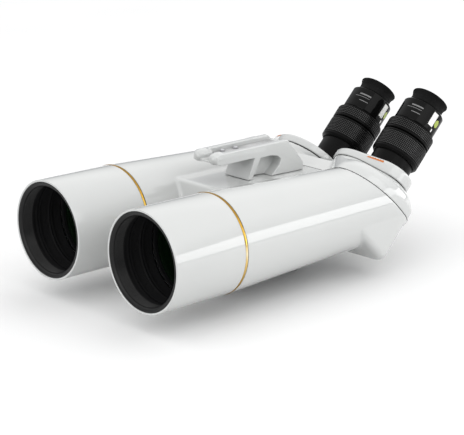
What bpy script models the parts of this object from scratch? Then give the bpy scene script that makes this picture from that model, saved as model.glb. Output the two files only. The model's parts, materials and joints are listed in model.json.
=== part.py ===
"""Giant astronomy binoculars: two 82 mm objectives, 45 degree eyepieces on swinging turrets.

Metres, +Z up. +Y runs from the objectives to the eyepieces, the tubes are parallel to Y, and the foot
rests on Z = 0 with the origin under the middle of the whole object. "left" is the +X side.
Tube coordinates (x, y, z) are counted from the front rim plane and the tube axes.
Tilted coordinates (x, e, d) are those of the prism housing: d runs along the eyepieces, up and back at
45 degrees, and e runs down and back, square to it.
"""
import math

import bmesh
import bpy
from mathutils import Vector

MM = 0.001
ROOT2 = math.sqrt(2.0)

# --- driving dimensions -----------------------------------------------------------------------------
SHIELD_RADIUS = 48.0 * MM        # outside of the dew shield, for an 82 mm clear aperture
APERTURE_RADIUS = 41.0 * MM
TUBE_SPACING = 137.2 * MM        # between the two tube axes
SHIELD_LENGTH = 81.6 * MM
TRIM_WIDTH = 2.4 * MM            # gold ring behind the dew shield
TAPER = 0.04215                  # loss of barrel radius for each unit of length
WALL = 3.2 * MM                  # castings
GAP = 0.3 * MM                   # between touching pieces
AXIS_HEIGHT = 66.8 * MM          # tube axes above the foot's sole
SEAM = 208.4 * MM                # d of the joint between main and rear castings
HOUSING_TOP = 234.2 * MM         # d of the rear casting's top face
CHIN = 157.8 * MM                # d of the prism box's lower front face
REAR_FACE = 234.2 * MM           # e of the castings' flat back
PIVOT_E = 212.0 * MM             # the turret's pivot is the optical axis, bent up by 45 degrees
EYE_X = 36.25 * MM               # half of the eye distance at rest (72.5 mm)
EYE_E = 238.95 * MM
TURRET_HEIGHT = 13.0 * MM
TURRET_WALL = 1.8 * MM
NOSE_DROOP = 0.64                # the turret's nose is this much as high as its eyepiece end
EYE_RIM = 103.4 * MM             # eyecup rim above the turret's top face
RIM_RADIUS = 19.9 * MM
DECK = 31.0 * MM                 # top of the bridge under the handle
DECK_SLOPE = -0.026              # it falls a little towards the eyepieces
DECK_MID_Y = 215.0 * MM
BRIDGE_SOLE = -40.8 * MM
CHIN_CORNER = 15.0 * MM          # rounding of the castings' rear edges

# --- worked out from them ---------------------------------------------------------------------------
AXIS_X = TUBE_SPACING / 2
TURRET_FLOOR = HOUSING_TOP + GAP
TURRET_TOP = TURRET_FLOOR + TURRET_HEIGHT
BARREL_START = SHIELD_LENGTH + TRIM_WIDTH + GAP
RIM_D = TURRET_TOP + EYE_RIM
LENGTH = (EYE_E + RIM_D + RIM_RADIUS - 0.5 * MM) / ROOT2
FRONT_Y = -LENGTH / 2
SHIFT = Vector((EYE_X - AXIS_X, EYE_E - PIVOT_E, 0))     # from pivot axis to eyepiece axis

# --- round pieces' facets ---------------------------------------------------------------------------
BIG = 40
MID = 24
SMALL = 16

SIDES = (("left", 1), ("right", -1))


# --- scene, collections, materials ------------------------------------------------------------------
for old in list(bpy.data.objects):
    bpy.data.objects.remove(old, do_unlink=True)


def new_collection(name):
    collection = bpy.data.collections.new(name)
    bpy.context.scene.collection.children.link(collection)
    return collection


PARTS = new_collection("astronomy_binoculars")
CUTTERS = new_collection("cutters")


def new_material(name, colour, roughness, metallic=0.0):
    material = bpy.data.materials.new(name)
    material.use_nodes = True
    shader = material.node_tree.nodes["Principled BSDF"]
    shader.inputs["Base Color"].default_value = (*colour, 1)
    shader.inputs["Roughness"].default_value = roughness
    shader.inputs["Metallic"].default_value = metallic
    material.diffuse_color = (*colour, 1)
    return material


WHITE = new_material("white_enamel", (0.86, 0.87, 0.86), 0.25)
BLACK = new_material("black_anodised", (0.012, 0.012, 0.013), 0.45)
FLOCK = new_material("matt_black_baffle", (0.006, 0.006, 0.006), 0.85)
GOLD = new_material("gold_trim", (0.83, 0.58, 0.16), 0.2, 1.0)
GLASS = new_material("coated_glass", (0.02, 0.10, 0.05), 0.05)
PRISM = new_material("prism_glass", (0.75, 0.82, 0.80), 0.05)
STEEL = new_material("steel", (0.55, 0.55, 0.56), 0.35, 1.0)
CHROME = new_material("chrome", (0.8, 0.8, 0.8), 0.1, 1.0)
GREY = new_material("grey_anodised", (0.45, 0.46, 0.47), 0.4, 0.6)
RUBBER = new_material("rubber", (0.02, 0.02, 0.02), 0.75)
GLOSS_BLACK = new_material("gloss_black", (0.01, 0.01, 0.011), 0.18)


def new_empty(name, location, turn=0.0, parent=None):
    empty = bpy.data.objects.new(name, None)
    PARTS.objects.link(empty)
    empty.location = location
    empty.rotation_euler = (turn, 0, 0)
    empty.parent = parent
    empty.empty_display_size = 0.01
    return empty


# Tube coordinates are this empty's own.
FRONT = new_empty("tube_frame", (0, FRONT_Y, AXIS_HEIGHT))
TILT = math.radians(-45)


def tilted(x, e, d):
    """Tilted coordinates to tube coordinates."""
    return Vector((x, (e + d) / ROOT2, (d - e) / ROOT2))


# --- solids -----------------------------------------------------------------------------------------
def add_object(name, mesh, material, parent, collection=PARTS):
    mesh.materials.append(material)
    piece = bpy.data.objects.new(name, mesh)
    collection.objects.link(piece)
    piece.parent = parent
    if collection is CUTTERS:
        piece.hide_render = True
        piece.display_type = "WIRE"
    return piece


def mesh_from(name, work):
    mesh = bpy.data.meshes.new(name)
    work.to_mesh(mesh)
    work.free()
    return mesh


def turned(name, profile, material, parent, location=(0, 0, 0), along_y=False, steps=MID,
           collection=PARTS):
    """Turns (radius, height) points about Z, or about Y with height counted along it.

    The points run down the outer side. A profile that starts and ends on the axis is a solid,
    and any other is closed into a ring.
    """
    work = bmesh.new()
    corners = [work.verts.new((radius, 0, height)) for radius, height in profile]
    for a, b in zip(corners, corners[1:]):
        work.edges.new((a, b))
    if profile[0][0] > 0:
        work.edges.new((corners[-1], corners[0]))
    piece = add_object(name, mesh_from(name, work), material, parent, collection)
    piece.location = location
    if along_y:
        piece.rotation_euler = (math.radians(-90), 0, 0)
    screw = piece.modifiers.new("turn", "SCREW")
    screw.axis = "Z"
    screw.steps = screw.render_steps = steps
    screw.use_merge_vertices = True
    screw.merge_threshold = 0.00001
    screw.use_smooth_shade = False
    return piece


def ring(outer, inner, low, high):
    """Profile of a plain ring."""
    return [(outer, high), (outer, low), (inner, low), (inner, high)]


def disc(radius, low, high):
    """Profile of a plain disc."""
    return [(0, high), (radius, high), (radius, low), (0, low)]


def lens(radius, low, high, low_bulge, high_bulge, steps=2):
    """Profile of a lens: its edge runs from low to high, and each face bulges outward."""
    top = [(radius * i / steps, high + high_bulge * (1 - (i / steps) ** 2)) for i in range(steps + 1)]
    bottom = [(radius * i / steps, low - low_bulge * (1 - (i / steps) ** 2)) for i in range(steps + 1)]
    return top + bottom[::-1]


def hull(name, points, material, parent, location=(0, 0, 0), collection=PARTS):
    """The tightest solid around the points."""
    work = bmesh.new()
    for point in points:
        work.verts.new(point)
    found = bmesh.ops.convex_hull(work, input=work.verts)
    spare = {item for item in found["geom_interior"] + found["geom_unused"]
             if isinstance(item, bmesh.types.BMVert)}
    bmesh.ops.delete(work, geom=list(spare), context="VERTS")
    bmesh.ops.recalc_face_normals(work, faces=work.faces)
    bmesh.ops.dissolve_limit(work, angle_limit=math.radians(0.01), verts=work.verts, edges=work.edges)
    piece = add_object(name, mesh_from(name, work), material, parent, collection)
    piece.location = location
    return piece


def side_plate(name, outline, half_width, material, parent, collection=PARTS):
    """A (y, z) outline, convex, made as thick as twice half_width across X."""
    points = [(x, y, z) for x in (-half_width, half_width) for y, z in outline]
    return hull(name, points, material, parent, collection=collection)


def box(name, low, high, material, parent, collection=PARTS):
    """A box between two corners in its parent's coordinates."""
    work = bmesh.new()
    bmesh.ops.create_cube(work, size=1.0)
    low, high = Vector(low), Vector(high)
    for vert in work.verts:
        vert.co = Vector((vert.co[i] * (high[i] - low[i]) for i in range(3)))
    piece = add_object(name, mesh_from(name, work), material, parent, collection)
    piece.location = (low + high) / 2
    return piece


def combine(piece, other, operation):
    """Joins (UNION) or cuts (DIFFERENCE) with another object."""
    boolean = piece.modifiers.new(operation.lower(), "BOOLEAN")
    boolean.operation = operation
    boolean.object = other
    boolean.solver = "EXACT"


def weld(piece):
    """Closes the hairline cracks that cuts through round walls leave."""
    merge = piece.modifiers.new("weld", "WELD")
    merge.merge_threshold = 0.00002


def helper(name):
    return "cut_" + name


# --- outlines ---------------------------------------------------------------------------------------
def barrel_radius(y):
    return SHIELD_RADIUS - TAPER * (y - SHIELD_LENGTH)


def box_section(side, d, inset, top_z):
    """Prism box's outline square to d: flat sides flush with the barrel, rounded rear edges.

    The sides start at top_z in the barrel's flank, where the box is hidden in the barrel.
    """
    points = []
    for hand in (1, -1):
        flank_y = ROOT2 * d - top_z
        flank = math.sqrt((barrel_radius(flank_y) - inset) ** 2 - top_z ** 2) - 0.1 * MM
        points.append(Vector((side * AXIS_X + hand * flank, flank_y, top_z)))
        corner = CHIN_CORNER - inset
        y_there = (REAR_FACE + d) / ROOT2
        reach = barrel_radius(y_there) - CHIN_CORNER
        for i in range(5):
            turn = math.radians(90) * i / 4
            x = side * AXIS_X + hand * (reach + corner * math.cos(turn))
            points.append(tilted(x, REAR_FACE - CHIN_CORNER + corner * math.sin(turn), d))
    return points


def housing_section(side, d, inset, level):
    """Rear housing's outline square to d: the barrel's slanting section in front, the box's behind.

    The level's depth and width shrink it towards the rear face and the tube's axis, and corner is the
    rounding of its rear edges, back how far the rear face has moved in.
    """
    depth, width, corner, back = level
    points = []
    for i in range(-1, 14):
        turn = math.pi * i / 12
        radius = barrel_radius(ROOT2 * SEAM)
        for _ in range(12):
            z = radius * math.sin(turn)
            radius = barrel_radius(ROOT2 * SEAM - z)
        e = (ROOT2 * SEAM - 2 * radius * math.sin(turn)) / ROOT2
        x = radius * math.cos(turn)
        e_in = REAR_FACE - (REAR_FACE - e) * depth + inset * math.sin(turn)
        points.append(tilted(side * AXIS_X + x * (width - inset / radius), e_in, d))
    for hand in (1, -1):
        reach = barrel_radius((REAR_FACE + SEAM) / ROOT2) * width - corner
        for i in range(5):
            turn = math.radians(90) * i / 4
            x = hand * (reach + (corner - inset) * math.cos(turn))
            e = REAR_FACE - back - corner + (corner - inset) * math.sin(turn)
            points.append(tilted(side * AXIS_X + x, e, d))
    return points


def lobe_section(side, height, inset, droop=1.0):
    """Turret's outline: a tight wrap of three circles, round the pivot, the nose and the eyepiece.

    droop lowers the nose, so that the top falls away from the eyepiece.
    """
    circles = ((0, 0, 23.5 * MM, 1.0), (-26.9 * MM, -2.7 * MM, 36.3 * MM, droop),
               (SHIFT.x, SHIFT.y, 26.9 * MM, 1.0))
    points = []
    for x, e, radius, share in circles:
        for i in range(SMALL):
            turn = 2 * math.pi * i / SMALL
            points.append(Vector((side * (x + (radius - inset) * math.cos(turn)),
                                  e + (radius - inset) * math.sin(turn), height * share)))
    return points


# --- main casting: both barrels, the prism boxes' lower halves and the bridge -----------------------
def barrel_outer(side, name):
    end = 345.0 * MM
    profile = [(0, end), (barrel_radius(end), end), (barrel_radius(BARREL_START), BARREL_START),
               (0, BARREL_START)]
    return turned(name, profile, WHITE, FRONT, (side * AXIS_X, 0, 0), True, BIG, CUTTERS)


def barrel_bore(side, name):
    """Inside of a barrel, with the wider seat for the objective cell at its front."""
    end = 350.0 * MM
    seat_end = 97.3 * MM
    seat = 44.5 * MM
    front = BARREL_START - 5 * MM
    profile = [(0, end), (barrel_radius(end) - WALL, end), (barrel_radius(seat_end) - WALL, seat_end),
               (seat, seat_end), (seat, front), (0, front)]
    return turned(name, profile, BLACK, FRONT, (side * AXIS_X, 0, 0), True, BIG, CUTTERS)


def bridge_reach(y, z):
    """Half width at which the bridge has just entered the barrels."""
    return AXIS_X - math.sqrt(barrel_radius(y) ** 2 - z ** 2) + 2 * MM


def deck(y):
    return DECK + DECK_SLOPE * (y - DECK_MID_Y)


BRIDGE_FRONT = 132.0 * MM
BRIDGE_TOE = 117.6 * MM
BRIDGE_REAR = (ROOT2 * SEAM - DECK + DECK_SLOPE * DECK_MID_Y) / (1 + DECK_SLOPE)
BRIDGE_HEEL = ROOT2 * REAR_FACE + BRIDGE_SOLE


def bridge_block():
    heel_width = 40 * MM
    seam_foot = tilted(0, REAR_FACE, SEAM)
    points = []
    for hand in (1, -1):
        points += [(hand * bridge_reach(y, deck(y)), y, deck(y)) for y in (BRIDGE_FRONT, BRIDGE_REAR)]
        points += [(hand * bridge_reach(BRIDGE_TOE, BRIDGE_SOLE), BRIDGE_TOE, BRIDGE_SOLE),
                   (hand * heel_width, BRIDGE_HEEL, BRIDGE_SOLE),
                   (hand * heel_width, seam_foot.y, seam_foot.z)]
    return hull(helper("bridge"), points, WHITE, FRONT, collection=CUTTERS)


def bridge_hollow(name, top_d):
    """Space inside the bridge, open at the seam and 4 mm inside every other face."""
    skin = 4 * MM
    half_width = 19 * MM
    front = 142 * MM
    top = deck(BRIDGE_REAR) - skin
    sole = BRIDGE_SOLE + skin
    e_rear = REAR_FACE - skin
    e_front = (ROOT2 * SEAM - 2 * top) / ROOT2
    rear_top, rear_low = tilted(0, e_front, top_d), tilted(0, e_rear, top_d)
    outline = [(front, top), (front, sole), (ROOT2 * e_rear + sole, sole),
               (rear_low.y, rear_low.z), (rear_top.y, rear_top.z), (ROOT2 * SEAM - top, top)]
    return side_plate(name, outline, half_width, BLACK, FRONT, CUTTERS)


def seam_cut(name, low, high):
    """A slab square to d that is larger than the castings."""
    slab = box(name, (-200 * MM, 50 * MM, low), (200 * MM, 400 * MM, high), WHITE, None, CUTTERS)
    slab.parent = TILTED
    return slab


TILTED = new_empty("tilted_frame", (0, 0, 0), TILT, FRONT)


def make_main_casting():
    casting = barrel_outer(1, "main_casting")
    CUTTERS.objects.unlink(casting)
    PARTS.objects.link(casting)
    casting.hide_render = False
    casting.display_type = "TEXTURED"
    combine(casting, barrel_outer(-1, helper("barrel_right")), "UNION")
    combine(casting, bridge_block(), "UNION")
    for hand, side in SIDES:
        points = box_section(side, CHIN, 0, 5 * MM) + box_section(side, SEAM + 5 * MM, 0, 5 * MM)
        combine(casting, hull(helper("prism_box_" + hand), points, WHITE, FRONT, collection=CUTTERS),
                "UNION")
    combine(casting, seam_cut(helper("above_seam"), SEAM, SEAM + 250 * MM), "DIFFERENCE")
    rear_cut = box(helper("behind"), (-200 * MM, REAR_FACE, 0), (200 * MM, 400 * MM, 400 * MM), WHITE,
                   TILTED, CUTTERS)
    combine(casting, rear_cut, "DIFFERENCE")
    combine(casting, bridge_hollow(helper("bridge_hollow"), SEAM + 8 * MM), "DIFFERENCE")
    for hand, side in SIDES:
        bore = barrel_bore(side, helper("bore_" + hand))
        behind = box(helper("bore_back_" + hand), (-200 * MM, REAR_FACE - WALL - MM, 0),
                     (200 * MM, 400 * MM, 400 * MM), WHITE, TILTED, CUTTERS)
        combine(bore, behind, "DIFFERENCE")
        combine(casting, bore, "DIFFERENCE")
        points = (box_section(side, CHIN + WALL, WALL, 4 * MM)
                  + box_section(side, SEAM + 6 * MM, WALL, 4 * MM))
        combine(casting, hull(helper("box_hollow_" + hand), points, BLACK, FRONT, collection=CUTTERS),
                "DIFFERENCE")
    return casting


# --- rear casting: closes the prism boxes and carries the turrets -----------------------------------
HUB_RADIUS = 13.8 * MM
VALLEY_TOP = 225.0 * MM          # d of the lower middle part's top
SHOULDER = 217.5 * MM            # d where the housings are widest
BROW = 225.5 * MM
SEAM_LEVEL = (1.0, 1.0, CHIN_CORNER, 0)
SHOULDER_LEVEL = (0.955, 1.005, CHIN_CORNER + MM, -1.8 * MM)
BROW_LEVEL = (0.87, 0.90, 22.0 * MM, 1.2 * MM)


def housing_top(side, d, inset):
    """The turret's outline, carried down to the housing's top."""
    pivot = tilted(side * AXIS_X, PIVOT_E, d)
    return [pivot + tilted(point.x, point.y, 0) for point in lobe_section(side, 0, inset)]


def make_rear_casting():
    low = SEAM + GAP
    pieces = []
    for hand, side in SIDES:
        points = (housing_section(side, low, 0, SEAM_LEVEL)
                  + housing_section(side, SHOULDER, 0, SHOULDER_LEVEL)
                  + housing_section(side, BROW, 0, BROW_LEVEL)
                  + housing_top(side, HOUSING_TOP, 0.8 * MM))
        if side == 1:
            casting = hull("rear_casting", points, WHITE, FRONT)
        else:
            pieces.append(hull(helper("housing_right"), points, WHITE, FRONT, collection=CUTTERS))
    front_e = (BRIDGE_REAR - deck(BRIDGE_REAR)) / ROOT2
    rear_e = REAR_FACE - 0.5 * MM
    half_width = bridge_reach(BRIDGE_REAR, deck(BRIDGE_REAR)) + MM
    middle = [tilted(hand * half_width, e, d) for hand in (1, -1)
              for e, d in ((front_e, low), (rear_e, low), (front_e + 8 * MM, VALLEY_TOP),
                           (rear_e, VALLEY_TOP))]
    pieces.append(hull(helper("middle"), middle, WHITE, FRONT, collection=CUTTERS))
    for piece in pieces:
        combine(casting, piece, "UNION")
    for hand, side in SIDES:
        top = HOUSING_TOP - WALL
        hollow = (housing_section(side, low - 5 * MM, WALL, SEAM_LEVEL)
                  + housing_section(side, SHOULDER, WALL, SHOULDER_LEVEL)
                  + housing_section(side, top, WALL + 1.7 * MM, BROW_LEVEL))
        combine(casting, hull(helper("housing_hollow_" + hand), hollow, BLACK, FRONT,
                              collection=CUTTERS), "DIFFERENCE")
        hole = turned(helper("pivot_hole_" + hand), disc(HUB_RADIUS + GAP, top - 5 * MM,
                      HOUSING_TOP + 5 * MM), BLACK, TILTED, (side * AXIS_X, PIVOT_E, 0), False, MID,
                      CUTTERS)
        combine(casting, hole, "DIFFERENCE")
    skin = 4 * MM
    pocket = box(helper("middle_pocket"), (-19 * MM, front_e + 2 * skin, low - 5 * MM),
                 (19 * MM, REAR_FACE - skin, VALLEY_TOP - skin), BLACK, TILTED, CUTTERS)
    combine(casting, pocket, "DIFFERENCE")
    weld(casting)


# --- front end: dew shield, its liner, the trim ring and the objective ------------------------------
LINER_RADIUS = 45.7 * MM
CELL_RADIUS = 44.2 * MM
SEAT_RADIUS = 44.5 * MM
CELL_FRONT = 50.2 * MM
CELL_REAR = 95.0 * MM
LENS_RADIUS = 42.0 * MM


def make_front_end(hand, side):
    here = (side * AXIS_X, 0, 0)
    rear = SHIELD_LENGTH - GAP
    liner_bore = LINER_RADIUS + GAP
    rim = 0.6 * MM
    shield = [(SHIELD_RADIUS, rear), (SHIELD_RADIUS, rim), (SHIELD_RADIUS - rim, 0), (liner_bore, 0),
              (liner_bore, CELL_FRONT - GAP), (SEAT_RADIUS, CELL_FRONT - GAP), (SEAT_RADIUS, rear)]
    turned("dew_shield_" + hand, shield, WHITE, FRONT, here, True, BIG)
    lip = APERTURE_RADIUS + 0.4 * MM
    liner = [(LINER_RADIUS, CELL_FRONT - 2 * GAP), (LINER_RADIUS, 0.2 * MM), (lip, 1.8 * MM),
             (lip + 0.9 * MM, 3.0 * MM), (lip + 0.9 * MM, 14 * MM)]
    for start in (20.0, 34.0):
        liner += [(lip + 2.6 * MM, (start - 1) * MM), (lip, start * MM), (lip, (start + 4.4) * MM),
                  (lip + 2.6 * MM, (start + 5.4) * MM)]
    liner += [(lip + 2.6 * MM, CELL_FRONT - 2 * GAP)]
    turned("shield_liner_" + hand, liner, FLOCK, FRONT, here, True, MID)
    trim_low = SHIELD_LENGTH
    turned("trim_ring_" + hand, ring(SHIELD_RADIUS + GAP, SEAT_RADIUS, trim_low, trim_low + TRIM_WIDTH),
           GOLD, FRONT, here, True, BIG)
    bore = LENS_RADIUS + 0.2 * MM
    shoulder = 65.0 * MM
    cell = [(CELL_RADIUS, CELL_REAR), (CELL_RADIUS, CELL_FRONT), (bore, CELL_FRONT), (bore, shoulder),
            (APERTURE_RADIUS - 0.5 * MM, shoulder), (APERTURE_RADIUS - 0.5 * MM, CELL_REAR)]
    turned("objective_cell_" + hand, cell, FLOCK, FRONT, here, True, MID)
    turned("lens_retaining_ring_" + hand, ring(LENS_RADIUS, APERTURE_RADIUS - 0.4 * MM, CELL_FRONT,
           53.0 * MM), FLOCK, FRONT, here, True, MID)
    turned("crown_lens_" + hand, lens(LENS_RADIUS, 53.4 * MM, 58.0 * MM, 3.0 * MM, 0.0), GLASS, FRONT,
           here, True, MID)
    turned("flint_lens_" + hand, lens(LENS_RADIUS, 58.4 * MM, 64.6 * MM, 0.0, -1.4 * MM), GLASS, FRONT,
           here, True, MID)
    baffle_y = 165.0 * MM
    fit = barrel_radius(baffle_y + 8 * MM) - WALL - 2 * GAP
    baffle = [(fit, baffle_y + 8 * MM), (fit, baffle_y), (32 * MM, baffle_y), (32 * MM, baffle_y + MM),
              (fit - MM, baffle_y + MM), (fit - MM, baffle_y + 8 * MM)]
    turned("barrel_baffle_" + hand, baffle, FLOCK, FRONT, here, True, SMALL)


# --- roof prism that bends the beam by 45 degrees, and its bracket ----------------------------------
PRISM_TOP = 24.0 * MM            # apex above the tube axis
PRISM_SIDE = 40.0 * MM
PRISM_HALF = 15.0 * MM


def make_roof_prism(hand, side):
    bend = math.radians(22.5)
    entry_y = ROOT2 * PIVOT_E - PRISM_TOP * math.tan(bend)
    apex = Vector((0, entry_y, PRISM_TOP))
    front_foot = apex + Vector((0, 0, -PRISM_SIDE))
    back_foot = apex + Vector((0, PRISM_SIDE / ROOT2, -PRISM_SIDE / ROOT2))
    outward = Vector((0, math.sin(bend), -math.cos(bend)))
    ridge = [front_foot.lerp(back_foot, t) + outward * 7 * MM for t in (0.25, 0.6)]
    points = [Vector((x, 0, 0)) + corner for x in (-PRISM_HALF, PRISM_HALF)
              for corner in (apex, front_foot, back_foot)] + ridge
    here = (side * AXIS_X, 0, 0)
    hull("roof_prism_" + hand, points, PRISM, FRONT, here)
    cheek = 3 * MM
    near, far = PRISM_HALF + GAP, PRISM_HALF + GAP + cheek
    low_z, high_z = -23.5 * MM, 12.0 * MM
    bracket = box("prism_bracket_" + hand, (-far, entry_y, low_z), (far, entry_y + 12.6 * MM, high_z),
                  BLACK, FRONT)
    bracket.location.x += side * AXIS_X
    room = box(helper("bracket_room_" + hand), (-near, entry_y - 9 * MM, low_z + cheek),
               (near, entry_y + 40 * MM, high_z + 9 * MM), BLACK, FRONT, CUTTERS)
    room.location.x += side * AXIS_X
    combine(bracket, room, "DIFFERENCE")


# --- swinging turret --------------------------------------------------------------------------------
def make_turret(hand, side):
    pivot = new_empty("turret_pivot_" + hand, tilted(side * AXIS_X, PIVOT_E, TURRET_FLOOR), TILT, FRONT)
    levels = ((0, 0.6), (0.8, 0), (8.0, 0), (11.0, 0.8), (12.4, 1.8), (13.0, 3.0))
    points = []
    for height, inset in levels:
        points += lobe_section(side, height * MM, inset * MM, NOSE_DROOP)
    shell = hull("turret_shell_" + hand, points, WHITE, pivot)
    ceiling = TURRET_HEIGHT - TURRET_WALL
    hollow = lobe_section(side, -1 * MM, TURRET_WALL)
    hollow += lobe_section(side, 9 * MM, TURRET_WALL, NOSE_DROOP)
    hollow += lobe_section(side, ceiling, TURRET_WALL + 1.5 * MM, NOSE_DROOP)
    combine(shell, hull(helper("turret_hollow_" + hand), hollow, BLACK, pivot, collection=CUTTERS),
            "DIFFERENCE")
    eye = (side * SHIFT.x, SHIFT.y, 0)
    combine(shell, turned(helper("eye_hole_" + hand), disc(TUBE_OUTER + GAP, 9 * MM, 20 * MM), BLACK,
                          pivot, eye, False, MID, CUTTERS), "DIFFERENCE")
    plate = 1.2 * MM
    edge = TURRET_WALL + GAP
    base = hull("turret_base_" + hand, lobe_section(side, 0, edge) + lobe_section(side, plate, edge),
                BLACK, pivot)
    hub_end = -8.2 * MM
    combine(base, turned(helper("hub_" + hand), disc(HUB_RADIUS, hub_end, plate / 2), BLACK, pivot,
                         (0, 0, 0), False, MID, CUTTERS), "UNION")
    combine(base, turned(helper("hub_bore_" + hand), disc(11.4 * MM, hub_end - MM, plate + MM), BLACK,
                         pivot, (0, 0, 0), False, MID, CUTTERS), "DIFFERENCE")
    turned("turret_retaining_ring_" + hand, ring(15.7 * MM, HUB_RADIUS + 0.05 * MM, hub_end,
           -WALL - 2 * GAP), STEEL, pivot, (0, 0, 0), False, MID)
    along = SHIFT.normalized()
    across = Vector((-along.y, along.x, 0))
    height, floor, width = 9.4 * MM, plate + GAP, 10 * MM
    half = height / 2
    run = SHIFT.length
    prism = []
    for u, z in ((-half, 0), (run - half, 0), (run + half, height), (half, height)):
        for v in (-width, width):
            corner = along * u + across * v
            prism.append((side * corner.x, corner.y, floor + z))
    hull("rhomboid_prism_" + hand, prism, PRISM, pivot)


# --- helical focuser, clamp ring and eyepiece -------------------------------------------------------
TUBE_OUTER = 22.0 * MM
TUBE_BORE = 20.0 * MM
DRAW_OUTER = 19.7 * MM
RING_RADIUS = 25.6 * MM
NOSE_RADIUS = 15.875 * MM        # 1.25 inch eyepiece
NOSE_BORE = 16.15 * MM
RING_LOW = 25.6 * MM             # heights above the turret's top face
RING_HIGH = RING_LOW + 23.6 * MM
CLAMP_LOW = RING_HIGH + 1.4 * MM
CLAMP_HIGH = CLAMP_LOW + 14.4 * MM
BARREL_LOW = CLAMP_HIGH + 0.5 * MM
BARREL_HIGH = BARREL_LOW + 24.9 * MM


def make_eyepiece(hand, side):
    axis = new_empty("eyepiece_axis_" + hand, tilted(side * EYE_X, EYE_E, TURRET_TOP), TILT, FRONT)
    turned("focuser_tube_" + hand, ring(TUBE_OUTER, TUBE_BORE, 0.1 * MM - TURRET_WALL,
           RING_HIGH - 2.9 * MM), BLACK, axis)
    edge = RING_RADIUS - 2.2 * MM
    lip = RING_HIGH - 2.6 * MM
    focus = [(RING_RADIUS - 0.6 * MM, RING_HIGH), (RING_RADIUS, RING_HIGH - 0.6 * MM),
             (RING_RADIUS, RING_LOW + 2.6 * MM), (edge, RING_LOW), (TUBE_OUTER + GAP, RING_LOW),
             (TUBE_OUTER + GAP, lip), (TUBE_BORE, lip), (TUBE_BORE, RING_HIGH)]
    turned("focus_ring_" + hand, focus, BLACK, axis)
    turned("draw_tube_" + hand, ring(DRAW_OUTER, NOSE_BORE, RING_LOW - 5 * MM, CLAMP_HIGH - GAP), BLACK,
           axis)
    clamp = [(RING_RADIUS - 1.6 * MM, CLAMP_HIGH), (RING_RADIUS, CLAMP_HIGH - 1.6 * MM),
             (RING_RADIUS, CLAMP_LOW + 0.5 * MM), (RING_RADIUS - 0.5 * MM, CLAMP_LOW),
             (DRAW_OUTER + GAP, CLAMP_LOW), (DRAW_OUTER + GAP, CLAMP_HIGH)]
    turned("clamp_ring_" + hand, clamp, BLACK, axis)
    nose_end = BARREL_LOW - 29.2 * MM
    turned("eyepiece_nosepiece_" + hand, ring(NOSE_RADIUS, 14.4 * MM, nose_end, BARREL_LOW + 5.5 * MM),
           CHROME, axis, steps=SMALL)
    neck, neck_high = 16.4 * MM, BARREL_HIGH + 3.2 * MM
    outer = 22.5 * MM
    body = [(neck, neck_high), (neck, BARREL_HIGH), (outer - 1.8 * MM, BARREL_HIGH),
            (outer, BARREL_HIGH - 1.8 * MM), (outer, BARREL_LOW), (NOSE_RADIUS + GAP, BARREL_LOW),
            (NOSE_RADIUS + GAP, BARREL_LOW + 6 * MM), (13.2 * MM, BARREL_LOW + 6 * MM),
            (13.2 * MM, neck_high)]
    turned("eyepiece_barrel_" + hand, body, GLOSS_BLACK, axis)
    field = lens(14.1 * MM, nose_end + 13 * MM, nose_end + 17 * MM, 1.2 * MM, 1.8 * MM)
    turned("field_lens_" + hand, field, GLASS, axis, steps=SMALL)
    turned("eye_lens_" + hand, lens(12.9 * MM, BARREL_HIGH - 7 * MM, BARREL_HIGH - 2 * MM, 1.5 * MM,
           1.2 * MM), GLASS, axis, steps=SMALL)
    lip = 0.5 * MM
    cup = [(RIM_RADIUS - 0.6 * MM, EYE_RIM), (RIM_RADIUS, EYE_RIM - lip), (RIM_RADIUS - 0.3 * MM,
           EYE_RIM - 2.2 * MM), (18.0 * MM, EYE_RIM - 6 * MM), (18.6 * MM, BARREL_HIGH + GAP),
           (neck + GAP, BARREL_HIGH + GAP), (neck + GAP, EYE_RIM - 6 * MM),
           (RIM_RADIUS - 1.8 * MM, EYE_RIM - 0.8 * MM)]
    turned("eyecup_" + hand, cup, RUBBER, axis)


# --- carrying handle with the finder shoe -----------------------------------------------------------
HANDLE_HALF = 16.8 * MM
HANDLE_TOP = 63.8 * MM
GRIP_SOLE = 53.0 * MM
HANDLE_NOSE = 137.0 * MM
CHANNEL_HALF = 10.5 * MM
CHANNEL_FLOOR = 56.6 * MM
SHOE_THICKNESS = 2.6 * MM
SHOE_SCREWS_Y = (165.0 * MM, 182.0 * MM)
SHOE_SCREW_X = -6.5 * MM
SHOE_SINK = 1.3 * MM             # depth of the shoe's counterbores
HANDLE_SCREWS_Y = (212.0 * MM, 236.0 * MM)


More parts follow.
